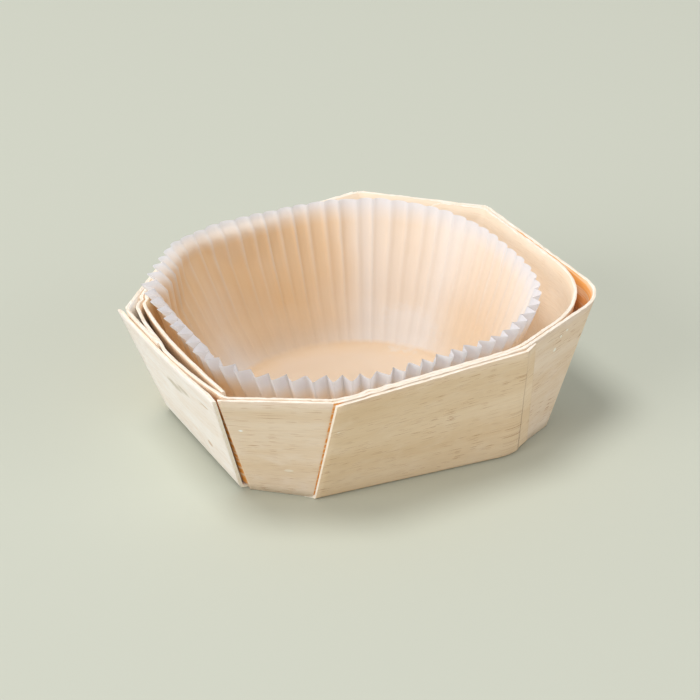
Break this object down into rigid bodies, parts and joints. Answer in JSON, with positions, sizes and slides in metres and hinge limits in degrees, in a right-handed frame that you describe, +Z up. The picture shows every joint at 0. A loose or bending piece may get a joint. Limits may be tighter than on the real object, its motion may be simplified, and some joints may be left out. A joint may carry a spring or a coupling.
{
  "type": "wooden baking mold with paper liner",
  "caption": "Eight-sided baking mold of lapped and folded wood veneer, with a pleated white paper liner standing in it.",
  "frame": {"origin": "centre of the underside of the floor, where the mold stands on the table", "axes": "+Z up towards the rim, +X along the front wall to the right, +Y from the front wall to the back wall"},
  "size_m": [0.1144, 0.1016, 0.0383],
  "materials": {
    "veneer": "bare rotary-cut poplar veneer, matt",
    "paper": "thin translucent greaseproof paper, matt"
  },
  "bodies": {
    "root": {"floor_sheet": "veneer", "cross_sheet": "veneer", "outer_band": "veneer", "inner_band": "veneer", "lining_strip": "veneer", "paper_liner": "paper"}
  },
  "joints": []
}
